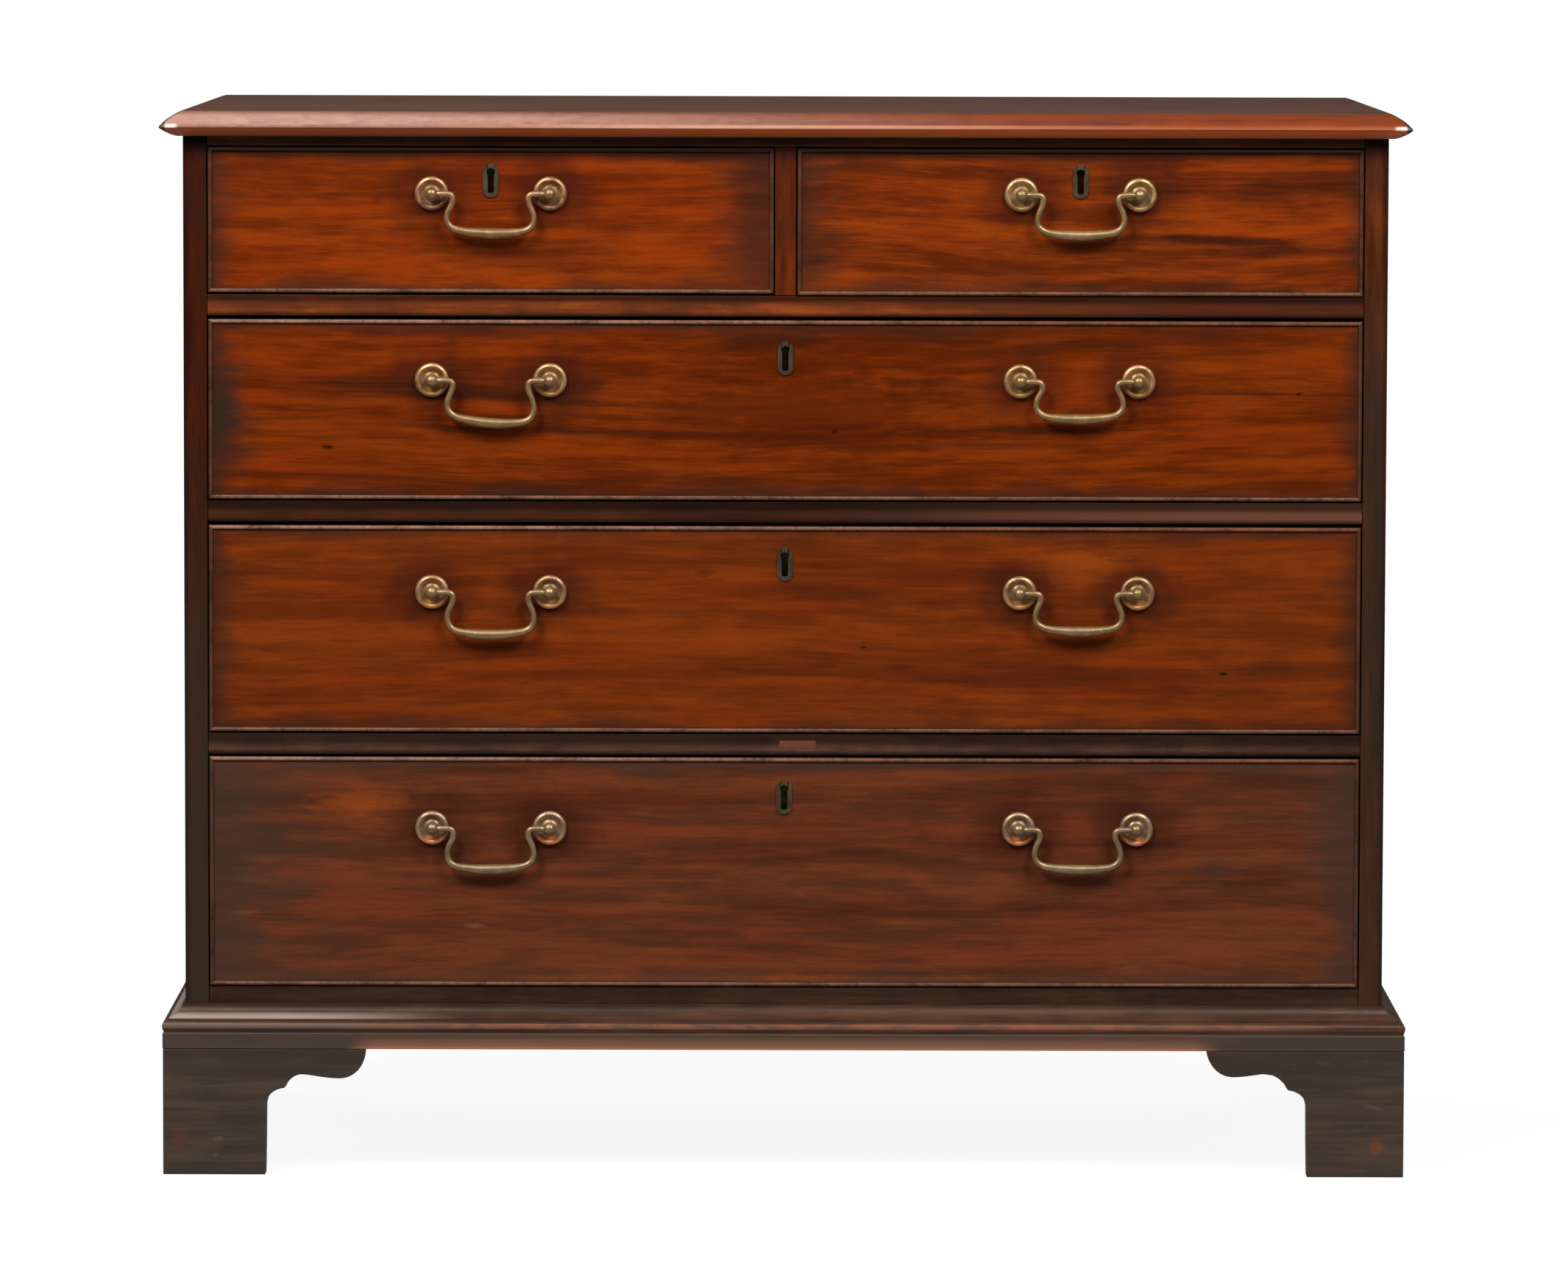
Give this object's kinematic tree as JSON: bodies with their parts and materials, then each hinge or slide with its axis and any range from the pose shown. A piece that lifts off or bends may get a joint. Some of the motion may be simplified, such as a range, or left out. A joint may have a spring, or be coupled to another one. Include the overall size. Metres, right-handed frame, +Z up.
{
  "type": "chest of drawers",
  "caption": "Straight-front mahogany chest of short and long graduated drawers with cock-beaded fronts, swan-neck bail handles, moulded top and scrolled bracket feet.",
  "frame": {"origin": "on the floor under the middle of the chest", "axes": "+X to the right across the front, +Y to the back, +Z up; the drawer fronts face -Y"},
  "size_m": [1.058, 0.53, 0.9065],
  "materials": {
    "front_mahogany": "wax-polished figured mahogany veneer",
    "case_mahogany": "wax-polished dark mahogany",
    "top_mahogany": "faded, wax-polished mahogany",
    "oak": "dry, unfinished oak",
    "deal": "dry, aged pine",
    "brass": "cast, worn and patinated",
    "iron": "wrought, dull"
  },
  "bodies": {
    "case": {"top": "top_mahogany", "top_rail_board": "case_mahogany", "bottom_board": "deal", "back_boards": "deal", "drawer_partition": "case_mahogany", "base_moulding": "case_mahogany", "drawer_divider_1": "case_mahogany", "drawer_divider_2": "case_mahogany", "drawer_divider_3": "case_mahogany", "side_left": "case_mahogany", "side_right": "case_mahogany", "foot_front_left": "case_mahogany", "foot_front_right": "case_mahogany", "foot_back_left": "case_mahogany", "foot_back_right": "case_mahogany"},
    "short_left": {"short_left_front": "front_mahogany", "short_left_box": "oak", "short_left_lock": "brass", "short_left_post_1": "brass", "short_left_post_2": "brass"},
    "short_left_bolt": {"short_left_bolt": "iron"},
    "short_left_bail_1": {"short_left_bail_1": "brass"},
    "short_right": {"short_right_front": "front_mahogany", "short_right_box": "oak", "short_right_lock": "brass", "short_right_post_1": "brass", "short_right_post_2": "brass"},
    "short_right_bolt": {"short_right_bolt": "iron"},
    "short_right_bail_1": {"short_right_bail_1": "brass"},
    "long_upper": {"long_upper_front": "front_mahogany", "long_upper_box": "oak", "long_upper_lock": "brass", "long_upper_post_1": "brass", "long_upper_post_2": "brass", "long_upper_post_3": "brass", "long_upper_post_4": "brass"},
    "long_upper_bolt": {"long_upper_bolt": "iron"},
    "long_upper_bail_1": {"long_upper_bail_1": "brass"},
    "long_upper_bail_2": {"long_upper_bail_2": "brass"},
    "long_middle": {"long_middle_front": "front_mahogany", "long_middle_box": "oak", "long_middle_lock": "brass", "long_middle_post_1": "brass", "long_middle_post_2": "brass", "long_middle_post_3": "brass", "long_middle_post_4": "brass"},
    "long_middle_bolt": {"long_middle_bolt": "iron"},
    "long_middle_bail_1": {"long_middle_bail_1": "brass"},
    "long_middle_bail_2": {"long_middle_bail_2": "brass"},
    "long_lower": {"long_lower_front": "front_mahogany", "long_lower_box": "oak", "long_lower_lock": "brass", "long_lower_post_1": "brass", "long_lower_post_2": "brass", "long_lower_post_3": "brass", "long_lower_post_4": "brass"},
    "long_lower_bolt": {"long_lower_bolt": "iron"},
    "long_lower_bail_1": {"long_lower_bail_1": "brass"},
    "long_lower_bail_2": {"long_lower_bail_2": "brass"}
  },
  "joints": [
    {"name": "short_left_slide", "type": "slide", "parent": "case", "child": "short_left", "axis": [0, -1, 0], "range_m": [0, 0.4]},
    {"name": "short_left_bolt_throw", "type": "slide", "parent": "short_left", "child": "short_left_bolt", "axis": [0, 0, 1], "range_m": [0, 0.007]},
    {"name": "short_left_bail_1_swing", "type": "hinge", "parent": "short_left", "child": "short_left_bail_1", "pos_m": [-0.2495, -0.256, 0.8355], "axis": [-1, 0, 0], "range_deg": [-8, 184]},
    {"name": "short_right_slide", "type": "slide", "parent": "case", "child": "short_right", "axis": [0, -1, 0], "range_m": [0, 0.4]},
    {"name": "short_right_bolt_throw", "type": "slide", "parent": "short_right", "child": "short_right_bolt", "axis": [0, 0, 1], "range_m": [0, 0.007]},
    {"name": "short_right_bail_1_swing", "type": "hinge", "parent": "short_right", "child": "short_right_bail_1", "pos_m": [0.2495, -0.256, 0.8355], "axis": [-1, 0, 0], "range_deg": [-8, 184]},
    {"name": "long_upper_slide", "type": "slide", "parent": "case", "child": "long_upper", "axis": [0, -1, 0], "range_m": [0, 0.4]},
    {"name": "long_upper_bolt_throw", "type": "slide", "parent": "long_upper", "child": "long_upper_bolt", "axis": [0, 0, 1], "range_m": [0, 0.007]},
    {"name": "long_upper_bail_1_swing", "type": "hinge", "parent": "long_upper", "child": "long_upper_bail_1", "pos_m": [-0.2495, -0.256, 0.6775], "axis": [-1, 0, 0], "range_deg": [-8, 184]},
    {"name": "long_upper_bail_2_swing", "type": "hinge", "parent": "long_upper", "child": "long_upper_bail_2", "pos_m": [0.2495, -0.256, 0.6775], "axis": [-1, 0, 0], "range_deg": [-8, 184]},
    {"name": "long_middle_slide", "type": "slide", "parent": "case", "child": "long_middle", "axis": [0, -1, 0], "range_m": [0, 0.4]},
    {"name": "long_middle_bolt_throw", "type": "slide", "parent": "long_middle", "child": "long_middle_bolt", "axis": [0, 0, 1], "range_m": [0, 0.007]},
    {"name": "long_middle_bail_1_swing", "type": "hinge", "parent": "long_middle", "child": "long_middle_bail_1", "pos_m": [-0.2495, -0.256, 0.4975], "axis": [-1, 0, 0], "range_deg": [-8, 184]},
    {"name": "long_middle_bail_2_swing", "type": "hinge", "parent": "long_middle", "child": "long_middle_bail_2", "pos_m": [0.2495, -0.256, 0.4975], "axis": [-1, 0, 0], "range_deg": [-8, 184]},
    {"name": "long_lower_slide", "type": "slide", "parent": "case", "child": "long_lower", "axis": [0, -1, 0], "range_m": [0, 0.4]},
    {"name": "long_lower_bolt_throw", "type": "slide", "parent": "long_lower", "child": "long_lower_bolt", "axis": [0, 0, 1], "range_m": [0, 0.007]},
    {"name": "long_lower_bail_1_swing", "type": "hinge", "parent": "long_lower", "child": "long_lower_bail_1", "pos_m": [-0.2495, -0.256, 0.296], "axis": [-1, 0, 0], "range_deg": [-8, 184]},
    {"name": "long_lower_bail_2_swing", "type": "hinge", "parent": "long_lower", "child": "long_lower_bail_2", "pos_m": [0.2495, -0.256, 0.296], "axis": [-1, 0, 0], "range_deg": [-8, 184]}
  ]
}
